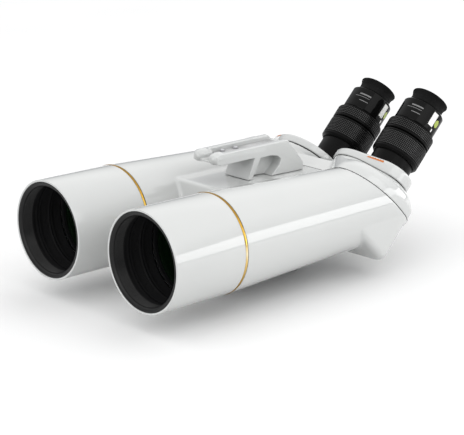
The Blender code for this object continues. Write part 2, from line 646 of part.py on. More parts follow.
def make_handle():
    toe, heel = 177.2 * MM, 251.8 * MM
    foot = deck(toe) + GAP
    block = [(toe, foot), (189.0 * MM, GRIP_SOLE), (190.5 * MM, HANDLE_TOP - 2 * MM),
             (230.5 * MM, HANDLE_TOP), (250.9 * MM, 39.3 * MM), (heel, 37.0 * MM),
             (heel, deck(heel) + GAP)]
    handle = side_plate("carry_handle", block, HANDLE_HALF, WHITE, FRONT)
    grip = [(HANDLE_NOSE, GRIP_SOLE + 2 * MM), (HANDLE_NOSE, HANDLE_TOP - 2 * MM),
            (HANDLE_NOSE + 5 * MM, HANDLE_TOP), (230.0 * MM, HANDLE_TOP), (230.0 * MM, GRIP_SOLE),
            (HANDLE_NOSE + 5 * MM, GRIP_SOLE)]
    combine(handle, side_plate(helper("grip"), grip, HANDLE_HALF, WHITE, FRONT, CUTTERS), "UNION")
    channel = box(helper("channel"), (-CHANNEL_HALF, 100 * MM, CHANNEL_FLOOR),
                  (CHANNEL_HALF, 238 * MM, HANDLE_TOP + 20 * MM), WHITE, FRONT, CUTTERS)
    combine(handle, channel, "DIFFERENCE")
    nose_radius = 6.4 * MM
    for hand, side in SIDES:
        nose = [Vector((side * 10.8 * MM + nose_radius * math.cos(t) * w, 140.5 * MM + y,
                        59.0 * MM + nose_radius * math.sin(t) * w))
                for y, w in ((-6.2 * MM, 0.35), (-4.4 * MM, 0.75), (0, 1.0), (6 * MM, 0.95), (13 * MM, 0.6))
                for t in (2 * math.pi * i / 12 for i in range(12))]
        combine(handle, hull(helper("nose_" + hand), nose, WHITE, FRONT, collection=CUTTERS), "UNION")
    low = foot - 5 * MM
    pocket = [(182.5 * MM - 1.5 * MM, low), (182.5 * MM, foot), (194.3 * MM, GRIP_SOLE - MM),
              (209 * MM, GRIP_SOLE - 1.4 * MM), (217 * MM, 50 * MM), (221.5 * MM, 46 * MM),
              (219 * MM, 40.5 * MM), (212.8 * MM, 35.5 * MM), (204.5 * MM, foot), (203.5 * MM, low)]
    for hand, side in SIDES:
        cutter = side_plate(helper("pocket_" + hand), pocket, 7 * MM, WHITE, FRONT, CUTTERS)
        cutter.location.x = side * (HANDLE_HALF - 4.5 * MM)
        combine(handle, cutter, "DIFFERENCE")
    for i, y in enumerate(SHOE_SCREWS_Y):
        hole = turned(helper("shoe_hole_%d" % i), disc(1.6 * MM, GRIP_SOLE + 1.2 * MM, 70 * MM), STEEL, FRONT,
                      (SHOE_SCREW_X, y, 0), False, 12, CUTTERS)
        combine(handle, hole, "DIFFERENCE")
    for i, y in enumerate(HANDLE_SCREWS_Y):
        hole = turned(helper("handle_hole_%d" % i), disc(2.8 * MM, 20 * MM, 48 * MM), STEEL, FRONT,
                      (0, y, 0), False, 12, CUTTERS)
        combine(handle, hole, "DIFFERENCE")
    weld(handle)


def make_shoe():
    low = CHANNEL_FLOOR + GAP
    high = low + SHOE_THICKNESS
    shoe = box("finder_shoe", (-CHANNEL_HALF + GAP, 156 * MM, low), (CHANNEL_HALF - GAP, 232 * MM, high),
               GREY, FRONT)
    for i, y in enumerate(SHOE_SCREWS_Y):
        hole = turned(helper("plate_hole_%d" % i), disc(1.6 * MM, 40 * MM, 70 * MM), STEEL, FRONT,
                      (SHOE_SCREW_X, y, 0), False, 12, CUTTERS)
        combine(shoe, hole, "DIFFERENCE")
        sink = turned(helper("plate_sink_%d" % i), disc(2.8 * MM, high - SHOE_SINK, 70 * MM), STEEL, FRONT,
                      (SHOE_SCREW_X, y, 0), False, 12, CUTTERS)
        combine(shoe, sink, "DIFFERENCE")
        seat = high - SHOE_SINK + GAP
        tip = GRIP_SOLE + 1.5 * MM
        screw = [(0, high + 1.9 * MM), (1.9 * MM, high + 1.9 * MM), (2.4 * MM, high + 1.3 * MM),
                 (2.4 * MM, seat), (1.25 * MM, seat), (1.25 * MM, tip), (0, tip)]
        turned("shoe_screw_" + ("front", "rear")[i], screw, STEEL, FRONT, (SHOE_SCREW_X, y, 0), False, 12)


def make_handle_screws(casting):
    head_top = deck(BRIDGE_REAR) - 4 * MM - GAP
    for i, y in enumerate(HANDLE_SCREWS_Y):
        hole = turned(helper("deck_hole_%d" % i), disc(2.8 * MM, 20 * MM, 48 * MM), STEEL, FRONT,
                      (0, y, 0), False, 12, CUTTERS)
        combine(casting, hole, "DIFFERENCE")
        screw = [(0, 47 * MM), (2.4 * MM, 47 * MM), (2.4 * MM, head_top), (4.4 * MM, head_top),
                 (4.4 * MM, head_top - 3.5 * MM), (0, head_top - 3.5 * MM)]
        turned("handle_screw_" + ("front", "rear")[i], screw, STEEL, FRONT, (0, y, 0), False, 12)


# --- foot -------------------------------------------------------------------------------------------
FOOT_FRONT = 125.0 * MM
FOOT_REAR = 234.0 * MM
FOOT_HALF = 30.0 * MM
FOOT_SCREWS_Y = (143.0 * MM, 216.0 * MM)
TRIPOD_Y = 179.5 * MM


def make_foot(casting):
    sole = -AXIS_HEIGHT
    top = BRIDGE_SOLE - GAP
    toe = 3 * MM
    outline = [(FOOT_FRONT + toe, sole), (FOOT_FRONT, sole + toe), (FOOT_FRONT, top), (FOOT_REAR, top),
               (FOOT_REAR, sole + toe), (FOOT_REAR - toe, sole)]
    foot = side_plate("foot_block", outline, FOOT_HALF, WHITE, FRONT)
    thread = turned(helper("tripod_thread"), disc(4.8 * MM, sole - 5 * MM, sole + 16 * MM), STEEL, FRONT,
                    (0, TRIPOD_Y, 0), False, SMALL, CUTTERS)
    combine(foot, thread, "DIFFERENCE")
    for i, y in enumerate(FOOT_SCREWS_Y):
        here = (0, y, 0)
        name = ("front", "rear")[i]
        stepped = [(0, BRIDGE_SOLE + 9 * MM), (3.2 * MM, BRIDGE_SOLE + 9 * MM), (3.2 * MM, sole + 9 * MM),
                   (5.4 * MM, sole + 9 * MM), (5.4 * MM, sole - 5 * MM), (0, sole - 5 * MM)]
        hole = turned(helper("foot_hole_" + name), stepped, STEEL, FRONT, here, False, SMALL, CUTTERS)
        combine(foot, hole, "DIFFERENCE")
        combine(casting, hole, "DIFFERENCE")
        screw = [(0, BRIDGE_SOLE + 7 * MM), (2.9 * MM, BRIDGE_SOLE + 7 * MM), (2.9 * MM, sole + 9.3 * MM - GAP),
                 (5.0 * MM, sole + 9 * MM - GAP), (5.0 * MM, sole + 3.5 * MM), (0, sole + 3.5 * MM)]
        turned("foot_screw_" + name, screw, STEEL, FRONT, here, False, 12)


# --- build ------------------------------------------------------------------------------------------
MAIN = make_main_casting()
make_rear_casting()
for side_name, side_sign in SIDES:
    make_front_end(side_name, side_sign)
    make_roof_prism(side_name, side_sign)
    make_turret(side_name, side_sign)
    make_eyepiece(side_name, side_sign)
make_handle()
make_shoe()
make_handle_screws(MAIN)
make_foot(MAIN)
weld(MAIN)
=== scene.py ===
"""Astronomy binoculars with angled eyepieces: the looks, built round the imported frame.

Lengths are in metres; MM turns millimetres into metres. +X is the observer's left, +Y runs from the
objectives to the eyepieces and +Z is up. "Tube coordinates" start at the dew shields' front rim, on
the tube axes' level. Tilted coordinates (x, e, d) are those turned by 45 degrees: d runs along the
eyepieces and e towards the back and down.
"""

import json
import math

import bmesh
import bpy
import numpy as np
from mathutils import Matrix, Vector


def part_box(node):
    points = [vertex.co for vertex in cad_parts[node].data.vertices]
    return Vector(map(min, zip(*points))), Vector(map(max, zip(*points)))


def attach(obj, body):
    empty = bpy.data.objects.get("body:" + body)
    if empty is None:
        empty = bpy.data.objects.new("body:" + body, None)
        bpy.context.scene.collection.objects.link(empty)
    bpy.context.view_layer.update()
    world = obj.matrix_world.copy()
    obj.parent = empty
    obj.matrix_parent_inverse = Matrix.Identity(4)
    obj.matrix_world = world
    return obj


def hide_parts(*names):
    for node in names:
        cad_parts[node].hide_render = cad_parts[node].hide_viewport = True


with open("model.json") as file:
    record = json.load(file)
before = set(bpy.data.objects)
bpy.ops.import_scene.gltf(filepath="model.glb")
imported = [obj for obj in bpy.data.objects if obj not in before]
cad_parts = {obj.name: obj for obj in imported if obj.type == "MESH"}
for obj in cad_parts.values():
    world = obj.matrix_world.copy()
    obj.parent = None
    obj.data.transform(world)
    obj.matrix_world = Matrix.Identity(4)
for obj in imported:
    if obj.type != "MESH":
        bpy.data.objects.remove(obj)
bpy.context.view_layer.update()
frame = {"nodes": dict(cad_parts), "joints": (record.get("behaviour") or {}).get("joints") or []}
NODES = frame["nodes"]
JOINTS = {joint["name"]: joint for joint in frame["joints"]}

MM = 0.001
ROOT2 = math.sqrt(2)
SIDES = (("left", 1), ("right", -1))

# --- sizes read from the frame ----------------------------------------------------------------------
SHIELD_LOW, SHIELD_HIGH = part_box("dew_shield_left")
TRIM_LOW, TRIM_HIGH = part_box("trim_ring_left")
AXIS_X = (SHIELD_LOW.x + SHIELD_HIGH.x) / 2
AXIS_Z = (SHIELD_LOW.z + SHIELD_HIGH.z) / 2
SHIELD_RADIUS = (SHIELD_HIGH.x - SHIELD_LOW.x) / 2
FRONT_Y = SHIELD_LOW.y
GAP = 0.3 * MM
SHIELD_LENGTH = TRIM_LOW.y - FRONT_Y
BARREL_START = TRIM_HIGH.y - FRONT_Y + GAP
ORIGIN = Vector((0, FRONT_Y, AXIS_Z))
AXIS = Vector(JOINTS["turret_turn_left"]["axis"]).normalized()

# --- casting sizes, in tube coordinates -------------------------------------------------------------
TAPER = 0.04215                  # loss of barrel radius for each unit of length
WALL = 2.4 * MM
SEAM = 208.4 * MM                # d of the joint between the castings
SEAM_GROOVE = 0.35 * MM          # half width of the gap there, whose cut edges carry painted shade
HOUSING_TOP = 234.2 * MM
CHIN = 157.8 * MM
REAR_FACE = 234.2 * MM
CHIN_CORNER = 15.0 * MM
CHIN_ROUNDING = 6.5 * MM
PIVOT_E = 212.0 * MM
PIVOT_HOLE = 14.1 * MM
SHOULDER = 217.5 * MM
BROW = 225.5 * MM
VALLEY_TOP = 225.0 * MM
BRIDGE_SOLE = -40.8 * MM
BRIDGE_FRONT = 132.0 * MM
BRIDGE_TOE = 117.6 * MM
DECK = 31.0 * MM
DECK_SLOPE = -0.026
DECK_MID_Y = 215.0 * MM
TURRET_HEIGHT = 13.0 * MM
TURRET_WALL = 1.8 * MM
TURRET_ROUNDING = 3.0 * MM
EYE_LOBE = 26.9 * MM             # radius of the turret's outline round the eyepiece
NOSE_DROOP = 0.64                # height of the turret's outer lobe as a share of the rest
# (x, e) from the pivot, radius and share of the height of the turret's other two lobes
LOBES = ((0, 0, 23.5 * MM, 1.0), (-26.9 * MM, -2.7 * MM, 36.3 * MM, NOSE_DROOP))
CASTING_VOXEL = 1.7 * MM

# --- front end and eyepiece sizes -------------------------------------------------------------------
LINER_RADIUS = 45.7 * MM
LINER_DEPTH = 49.5 * MM
LIP_DEPTH = 13.0 * MM            # the liner is glossier up to here, and a lighter tone: painted light near the mouth
APERTURE = 41.4 * MM
THREAD_PITCH, THREAD_DEPTH = 0.75 * MM, 0.35 * MM
RAISED_RINGS = ((18.5 * MM, 5.5 * MM), (33 * MM, 5.5 * MM))    # start and length of each
RAISED_HEIGHT = 1.5 * MM
KNURL_CELLS = 84
KNURL_DEPTH = 0.55 * MM
MARK_THICKNESS = 0.06 * MM
RIGHT_EYEPIECE_TURN = 14         # degrees by which the right eyepiece's marks are turned


# --- materials --------------------------------------------------------------------------------------
def material(name, colour, roughness, metallic=0.0, **sockets):
    """A Principled material; sockets are set by name, with _ for a space."""
    mat = bpy.data.materials.new(name)
    mat.use_nodes = True
    shader = mat.node_tree.nodes["Principled BSDF"]
    shader.inputs["Base Color"].default_value = (*colour, 1)
    shader.inputs["Roughness"].default_value = roughness
    shader.inputs["Metallic"].default_value = metallic
    for socket, value in sockets.items():
        shader.inputs[socket.replace("_", " ")].default_value = value
    return mat


NOISE_LOW, NOISE_HIGH = 0.3, 0.7     # where most of a noise texture's values lie


def noise(mat, scale, detail=3.0, stretch=(1, 1, 1)):
    """A noise texture on the object's own coordinates."""
    tree = mat.node_tree
    place = tree.nodes.new("ShaderNodeTexCoord")
    squeeze = tree.nodes.new("ShaderNodeMapping")
    squeeze.inputs["Scale"].default_value = stretch
    texture = tree.nodes.new("ShaderNodeTexNoise")
    texture.inputs["Scale"].default_value = scale
    texture.inputs["Detail"].default_value = detail
    tree.links.new(place.outputs["Object"], squeeze.inputs["Vector"])
    tree.links.new(squeeze.outputs["Vector"], texture.inputs["Vector"])
    return texture.outputs["Fac"]


def vary(mat, socket, source, low, high):
    """Drives a socket from a noise source, between low and high: numbers or colours."""
    tree = mat.node_tree
    shader = tree.nodes["Principled BSDF"]
    if isinstance(low, tuple):
        ramp = tree.nodes.new("ShaderNodeValToRGB")
        ramp.color_ramp.elements[0].position = NOISE_LOW
        ramp.color_ramp.elements[1].position = NOISE_HIGH
        ramp.color_ramp.elements[0].color = (*low, 1)
        ramp.color_ramp.elements[1].color = (*high, 1)
        tree.links.new(source, ramp.inputs["Fac"])
        tree.links.new(ramp.outputs["Color"], shader.inputs[socket])
        return
    spread = tree.nodes.new("ShaderNodeMapRange")
    spread.inputs["From Min"].default_value = NOISE_LOW
    spread.inputs["From Max"].default_value = NOISE_HIGH
    spread.inputs["To Min"].default_value = low
    spread.inputs["To Max"].default_value = high
    tree.links.new(source, spread.inputs["Value"])
    tree.links.new(spread.outputs["Result"], shader.inputs[socket])


def bump(mat, source, strength, distance):
    """Raises a material's surface by a 0 to 1 source."""
    tree = mat.node_tree
    node = tree.nodes.new("ShaderNodeBump")
    node.inputs["Strength"].default_value = strength
    node.inputs["Distance"].default_value = distance
    tree.links.new(source, node.inputs["Height"])
    tree.links.new(node.outputs["Normal"], tree.nodes["Principled BSDF"].inputs["Normal"])


def enamel():
    """Sprayed white enamel: glossy, with slow changes of tone."""
    mat = material("white_enamel", (0.53, 0.54, 0.53), 0.1, Coat_Weight=0.7, Coat_Roughness=0.03)
    vary(mat, "Base Color", noise(mat, 9, 2), (0.493, 0.501, 0.496), (0.511, 0.518, 0.510))
    vary(mat, "Roughness", noise(mat, 12, 2), 0.08, 0.11)
    return mat


def anodised(name, tone, low, high):
    """Fine blasted and anodised aluminium."""
    mat = material(name, (tone, tone, tone * 1.04), low, 0.3)
    vary(mat, "Base Color", noise(mat, 40, 4), (tone * 0.8,) * 3, (tone * 1.25,) * 3)
    vary(mat, "Roughness", noise(mat, 240, 4), low, high)
    bump(mat, noise(mat, 2600, 3), 0.16, 0.00004)
    return mat


def turned_metal(name, colour, low, high, stretch):
    """Lathe-turned metal with faint marks round its axis."""
    mat = material(name, colour, low, 1.0)
    marks = noise(mat, 55, 5, stretch)
    vary(mat, "Roughness", marks, low, high)
    vary(mat, "Base Color", noise(mat, 30, 3), tuple(c * 0.9 for c in colour), colour)
    bump(mat, marks, 0.12, 0.00005)
    return mat


def rubber():
    """Soft dull rubber with a fine grain."""
    mat = material("soft_rubber", (0.006, 0.006, 0.006), 0.6, Sheen_Weight=0.01, Sheen_Roughness=0.5)
    vary(mat, "Base Color", noise(mat, 70, 4), (0.004, 0.004, 0.004), (0.009, 0.009, 0.009))
    vary(mat, "Roughness", noise(mat, 300, 4), 0.5, 0.72)
    bump(mat, noise(mat, 1500, 4), 0.25, 0.00008)
    return mat


def paint_light_by_height(mat, stops):
    """Paints light and shade into a material's colour by height; stops are (height, colour), low to high.
    """
    tree = mat.node_tree
    place = tree.nodes.new("ShaderNodeTexCoord")
    split = tree.nodes.new("ShaderNodeSeparateXYZ")
    spread = tree.nodes.new("ShaderNodeMapRange")
    ramp = tree.nodes.new("ShaderNodeValToRGB")
    low, high = stops[0][0], stops[-1][0]
    spread.inputs["From Min"].default_value = low
    spread.inputs["From Max"].default_value = high
    points = ramp.color_ramp.elements
    while len(points) < len(stops):
        points.new(0.5)
    for point, (height, colour) in zip(points, stops):
        point.position = (height - low) / (high - low)
        point.color = (*colour, 1)
    tree.links.new(place.outputs["Object"], split.inputs["Vector"])
    tree.links.new(split.outputs["Z"], spread.inputs["Value"])
    tree.links.new(spread.outputs["Result"], ramp.inputs["Fac"])
    tree.links.new(ramp.outputs["Color"], tree.nodes["Principled BSDF"].inputs["Base Color"])


def coated_glass():
    """Dark lens with a green coating; its base colour turns greener towards its edge, a painted reflection.
    """
    mat = material("coated_glass", (0.002, 0.005, 0.002), 0.03, Coat_Weight=0.3, Coat_Roughness=0.02,
                   Coat_IOR=1.6)
    mat.node_tree.nodes["Principled BSDF"].inputs["Coat Tint"].default_value = (0.55, 1.0, 0.72, 1)
    tree = mat.node_tree
    # greener base colour where the lens is seen at a slant: painted reflection of the coating
    edge = tree.nodes.new("ShaderNodeLayerWeight")
    edge.inputs["Blend"].default_value = 0.45
    vary(mat, "Base Color", edge.outputs["Facing"], (0.001, 0.002, 0.001), (0.003, 0.012, 0.003))
    return mat


def speckled(name, colour, roughness, spread=0.12):
    """A plain finish with fine grain in colour and gloss."""
    scale = 400
    mat = material(name, colour, roughness)
    vary(mat, "Base Color", noise(mat, scale, 3), tuple(c * (1 - spread) for c in colour),
         tuple(min(1, c * (1 + spread)) for c in colour))
    vary(mat, "Roughness", noise(mat, scale * 2, 3), roughness * 0.85, min(1, roughness * 1.15))
    return mat


WHITE = enamel()
BLACK = anodised("black_anodised", 0.004, 0.30, 0.42)
# the knurl's raised squares: a lighter tone than the ring's black, a painted highlight
KNURL = anodised("knurl_tops_painted_highlight", 0.036, 0.28, 0.40)
GREY = anodised("grey_anodised", 0.42, 0.36, 0.48)
FLOCK = speckled("matt_black_baffle", (0.004, 0.004, 0.0045), 0.6, spread=0.3)
# the liner's mouth: a glossier finish, and a lighter tone than the flock that is painted light
LIP = speckled("glossy_black_lip_painted_light", (0.007, 0.007, 0.007), 0.35, spread=0.3)
# near-black for the castings' cut edges: painted shade for the seam's gap
SEAM_SHADE = speckled("seam_shadow", (0.02, 0.02, 0.02), 0.9, spread=0.3)
GOLD = turned_metal("polished_gold_painted_highlight", (0.66, 0.43, 0.11), 0.08, 0.16, (1, 30, 1))
# the gold band's hue with painted light by height: painted shade at the bottom, a painted highlight just
# above the middle, darker painted shade towards the top
paint_light_by_height(GOLD, ((0.02, (0.20, 0.11, 0.02)), (0.035, (0.34, 0.19, 0.03)), (0.06, (0.80, 0.56, 0.20)),
             (0.068, (0.90, 0.78, 0.50)), (0.078, (0.72, 0.48, 0.10)), (0.095, (0.42, 0.25, 0.04)),
             (0.115, (0.30, 0.18, 0.04))))
STEEL = turned_metal("steel", (0.55, 0.55, 0.57), 0.22, 0.34, (1, 1, 12))
CHROME = turned_metal("chrome", (0.80, 0.80, 0.82), 0.06, 0.12, (1, 1, 12))
RUBBER = rubber()
GLASS = coated_glass()
PRISM = speckled("prism_glass", (0.62, 0.70, 0.68), 0.05)
GLOSS = material("gloss_black", (0.003, 0.003, 0.003), 0.1, Coat_Weight=0.1, Coat_Roughness=0.03)
vary(GLOSS, "Roughness", noise(GLOSS, 80, 3), 0.08, 0.14)
vary(GLOSS, "Base Color", noise(GLOSS, 25, 2), (0.002, 0.002, 0.002), (0.004, 0.004, 0.004))
for dark, shine in ((FLOCK, 0.12), (LIP, 0.22), (GLOSS, 0.05), (BLACK, 0.08), (KNURL, 0.4),
                    (RUBBER, 0.04)):
    dark.node_tree.nodes["Principled BSDF"].inputs["Specular IOR Level"].default_value = shine
PRINT = speckled("grey_print", (0.16, 0.16, 0.16), 0.4)
WHITE_PATCH = speckled("white_patch", (0.72, 0.72, 0.70), 0.4)
PRINT_GREEN = speckled("green_print", (0.32, 0.40, 0.06), 0.4)
ORANGE = speckled("orange_print", (0.50, 0.14, 0.02), 0.35)
PRINT_BROWN = speckled("brown_print", (0.16, 0.03, 0.005), 0.4)


# --- geometry helpers -------------------------------------------------------------------------------
def tilted(x, e, d):
    """Tilted coordinates to world."""
    return ORIGIN + Vector((x, (e + d) / ROOT2, (d - e) / ROOT2))


def tube(x, y, z):
    """Tube coordinates to world."""
    return ORIGIN + Vector((x, y, z))


def turns(steps):
    """Evenly spaced angles round a full circle."""
    return [2 * math.pi * i / steps for i in range(steps)]


def barrel_radius(y):
    """A conical barrel's outer radius at y."""
    return SHIELD_RADIUS - TAPER * (y - SHIELD_LENGTH)


def deck(y):
    """The height of the bridge's sloping top at y."""
    return DECK + DECK_SLOPE * (y - DECK_MID_Y)


def look_along(origin, axis):
    """A frame at origin whose Z is the axis and whose X is the world's X."""
    z = Vector(axis).normalized()
    x = (Vector((1, 0, 0)) - z * z.x).normalized()
    y = z.cross(x)
    return Matrix.Translation(origin) @ Matrix((x, y, z)).transposed().to_4x4()


def add(name, mesh, *mats):
    """A new object in the scene."""
    piece = bpy.data.objects.new(name, mesh)
    bpy.context.scene.collection.objects.link(piece)
    for mat in mats:
        mesh.materials.append(mat)
    return piece


def smooth(mesh, sharp):
    """Smooth shading, but for edges sharper than an angle in degrees."""
    for face in mesh.polygons:
        face.use_smooth = True
    mesh.set_sharp_from_angle(angle=math.radians(sharp))


def mesh_of(name, work):
    """The finished mesh of a bmesh."""
    mesh = bpy.data.meshes.new(name)
    work.to_mesh(mesh)
    work.free()
    return mesh


def fillet(profile, radius, steps=4):
    """Rounds the corners of a closed (r, h) outline; a short side gets a smaller rounding."""
    count = len(profile)
    out = []
    for i in range(count):
        here = Vector(profile[i])
        before = Vector(profile[i - 1]) - here
        after = Vector(profile[(i + 1) % count]) - here
        size = min(radius, before.length * 0.45, after.length * 0.45)
        if before.length < 1e-7 or after.length < 1e-7 or abs(before.angle(after) - math.pi) < 0.05:
            out.append(tuple(here))
            continue
        a, b = here + before.normalized() * size, here + after.normalized() * size
        for k in range(steps + 1):
            t = k / steps
            out.append(tuple(a * (1 - t) ** 2 + here * 2 * t * (1 - t) + b * t ** 2))
    return out


def lathe(name, profile, place, *mats, steps=128, sharp=35, closed=True):
    """Turns an (r, h) outline about the Z of place. A closed outline makes a ring."""
    points = np.array(profile)
    turn = np.arange(steps) * 2 * math.pi / steps
    verts = np.stack([np.outer(points[:, 0], np.cos(turn)), np.outer(points[:, 0], np.sin(turn)),
                      np.repeat(points[:, 1:2], steps, 1)], -1).reshape(-1, 3)
    count = len(points)
    faces = []
    for i in range(count if closed else count - 1):
        a, b = i * steps, (i + 1) % count * steps
        faces += [(a + k, a + (k + 1) % steps, b + (k + 1) % steps, b + k) for k in range(steps)]
    mesh = bpy.data.meshes.new(name)
    mesh.from_pydata([tuple(v) for v in verts], [], faces)
    mesh.transform(place)
    work = bmesh.new()
    work.from_mesh(mesh)
    bmesh.ops.remove_doubles(work, verts=work.verts, dist=1e-7)
    bmesh.ops.recalc_face_normals(work, faces=work.faces)
    work.to_mesh(mesh)
    work.free()
    smooth(mesh, sharp)
    return add(name, mesh, *mats)


def hull(points):
    """A bmesh of the tightest solid round the points."""
    work = bmesh.new()
    for point in points:
        work.verts.new(point)
    found = bmesh.ops.convex_hull(work, input=work.verts)
    spare = {item for item in found["geom_interior"] + found["geom_unused"]
             if isinstance(item, bmesh.types.BMVert)}
    bmesh.ops.delete(work, geom=list(spare), context="VERTS")
    bmesh.ops.recalc_face_normals(work, faces=work.faces)
    return work


def cut_away(work, point, normal, fill=True):
    """Removes what lies beyond a plane and closes the cut."""
    parts = work.verts[:] + work.edges[:] + work.faces[:]
    done = bmesh.ops.bisect_plane(work, geom=parts, plane_co=point, plane_no=normal, clear_outer=True)
    if fill:
        edges = [item for item in done["geom_cut"] if isinstance(item, bmesh.types.BMEdge)]
        bmesh.ops.holes_fill(work, edges=edges, sides=0)


def subtract(mesh, cutter):
    """mesh minus a cutter mesh."""
    body, tool = add("work_body", mesh), add("work_tool", cutter)
    boolean = body.modifiers.new("cut", "BOOLEAN")
    boolean.operation = "DIFFERENCE"
    boolean.solver = "EXACT"
    boolean.object = tool
    bpy.context.view_layer.update()
    result = bpy.data.meshes.new_from_object(body.evaluated_get(bpy.context.evaluated_depsgraph_get()))
    bpy.data.objects.remove(body)
    bpy.data.objects.remove(tool)
    return result


def cast(meshes, voxel, rounds):
    """Fuses closed meshes into one skin and softens its edges, as a casting's are."""
    joined = bmesh.new()
    for mesh in meshes:
        joined.from_mesh(mesh)
    piece = add("work_cast", mesh_of("work_cast", joined))
    remesh = piece.modifiers.new("skin", "REMESH")
    remesh.mode = "VOXEL"
    remesh.voxel_size = voxel
    soften = piece.modifiers.new("soften", "SMOOTH")
    soften.factor = 0.5
    soften.iterations = rounds
    bpy.context.view_layer.update()
    result = bpy.data.meshes.new_from_object(piece.evaluated_get(bpy.context.evaluated_depsgraph_get()))
    bpy.data.objects.remove(piece)
    result.materials.clear()
    for face in result.polygons:
        face.use_smooth = True
    return result


def coordinates(mesh):
    """A mesh's points as rows of an array."""
    flat = np.empty(len(mesh.vertices) * 3)
    mesh.vertices.foreach_get("co", flat)
    return flat.reshape(-1, 3)


def along(node, origin, axis=AXIS):
    """A CAD node's lowest and highest point along an axis, and its outer and inner radius about it."""
    offsets = coordinates(NODES[node].data) - np.array(origin)
    heights = offsets @ np.array(axis)
    radii = np.linalg.norm(offsets - np.outer(heights, np.array(axis)), axis=1)
    return heights.min(), heights.max(), radii.max(), radii.min()


def keep(node, *mats):
    """A CAD node that shows as it is, with a better finish."""
    mesh = NODES[node].data
    mesh.materials.clear()
    for mat in mats:
        mesh.materials.append(mat)
    for face in mesh.polygons:
        face.material_index = 0


def stand_in(piece, body, slot_name, *nodes):
    """Puts a piece on its body, in place of the nodes it stands for."""
    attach(piece, body)
    if nodes:
        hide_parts(*nodes)


# --- castings ---------------------------------------------------------------------------------------
def box_section(side, d, top_z, inset=0.0, steps=12):
    """The prism box's outline square to d, with rounded rear edges."""
    points = []
    for hand in (1, -1):
        flank_y = ROOT2 * d - top_z
        flank = math.sqrt(barrel_radius(flank_y) ** 2 - top_z ** 2) - 0.1 * MM - inset
        points.append(tube(side * AXIS_X + hand * flank, flank_y, top_z))
        reach = barrel_radius((REAR_FACE + d) / ROOT2) - CHIN_CORNER - inset
        for i in range(steps + 1):
            turn = math.radians(90) * i / steps
            x = side * AXIS_X + hand * (reach + CHIN_CORNER * math.cos(turn))
            points.append(tilted(x, REAR_FACE - inset - CHIN_CORNER * (1 - math.sin(turn)), d))
    return points


def housing_section(side, d, level):
    """The rear housing's outline square to d: barrel-shaped in front, square with round edges behind."""
    depth, width, corner, back = level
    steps = 48
    points = []
    for i in range(-2, steps + 3):
        turn = math.pi * i / steps
        radius = barrel_radius(ROOT2 * SEAM)
        for _ in range(12):
            radius = barrel_radius(ROOT2 * SEAM - radius * math.sin(turn))
        e = (ROOT2 * SEAM - 2 * radius * math.sin(turn)) / ROOT2
        x = radius * math.cos(turn) * width
        points.append(tilted(side * AXIS_X + x, REAR_FACE - (REAR_FACE - e) * depth, d))
    for hand in (1, -1):
        reach = barrel_radius((REAR_FACE + SEAM) / ROOT2) * width - corner
        for i in range(13):
            turn = math.radians(90) * i / 12
            points.append(tilted(side * AXIS_X + hand * (reach + corner * math.cos(turn)),
                                 REAR_FACE - back - corner * (1 - math.sin(turn)), d))
    return points


def lobe_points(side, height, inset, droop=False):
    """The turret's outline round the pivot, the nose and the eyepiece."""
    eye, pivot = eye_offset(side)
    circles = LOBES + ((side * (eye.x - pivot.x), eye.y - pivot.y, EYE_LOBE, 1.0),)
    points = []
    for x, e, radius, share in circles:
        for turn in turns(72):
            points.append(tilted(side * (AXIS_X + x + (radius - inset) * math.cos(turn)),
                                 PIVOT_E + e + (radius - inset) * math.sin(turn),
                                 HOUSING_TOP + height * (share if droop else 1.0)))
    return points


def eye_offset(side):
    """Where the eyepiece axis and the pivot cross the tilted plane: (x, e) of each."""
    hand = "left" if side == 1 else "right"
    found = []
    for name in ("focus_turn_", "turret_turn_"):
        point = Vector(JOINTS[name + hand]["pos_m"]) - ORIGIN
        found.append(Vector((point.x, (point.y - point.z) / ROOT2)))
    return found


# the housing's levels: share of depth, share of width, corner radius and set-back of the rear face
SEAM_LEVEL = (1.0, 1.0, CHIN_CORNER, 0)
SHOULDER_LEVEL = (0.955, 1.005, CHIN_CORNER + MM, -1.8 * MM)
BROW_LEVEL = (0.87, 0.90, 22.0 * MM, 1.2 * MM)


def barrel_solid(side):
    """One conical barrel, cut off at the seam and at the rear face."""
    points = []
    for y in (BARREL_START - 6 * MM, 345 * MM):
        radius = barrel_radius(y)
        points += [tube(side * AXIS_X + radius * math.cos(t), y, radius * math.sin(t))
                   for t in turns(256)]
    work = hull(points)
    cut_away(work, tilted(0, 0, SEAM + MM), AXIS)
    cut_away(work, tilted(0, REAR_FACE, 0), Vector((0, 1, -1)))
    return mesh_of("barrel", work)


def bridge_solid():
    """The flat-topped web between the barrels, with its sloping front."""
    def reach(y, z):
        return AXIS_X - math.sqrt(barrel_radius(y) ** 2 - z ** 2) + 2 * MM

    rear = (ROOT2 * SEAM - DECK + DECK_SLOPE * DECK_MID_Y) / (1 + DECK_SLOPE)
    heel = ROOT2 * REAR_FACE + BRIDGE_SOLE
    heel_width = 40 * MM
    points = []
    for hand in (1, -1):
        points += [tube(hand * reach(y, deck(y)), y, deck(y)) for y in (BRIDGE_FRONT, rear)]
        points += [tube(hand * reach(BRIDGE_TOE, BRIDGE_SOLE), BRIDGE_TOE, BRIDGE_SOLE),
                   tube(hand * heel_width, heel, BRIDGE_SOLE), tilted(hand * heel_width, REAR_FACE, SEAM)]
    return mesh_of("bridge", hull(points)), rear


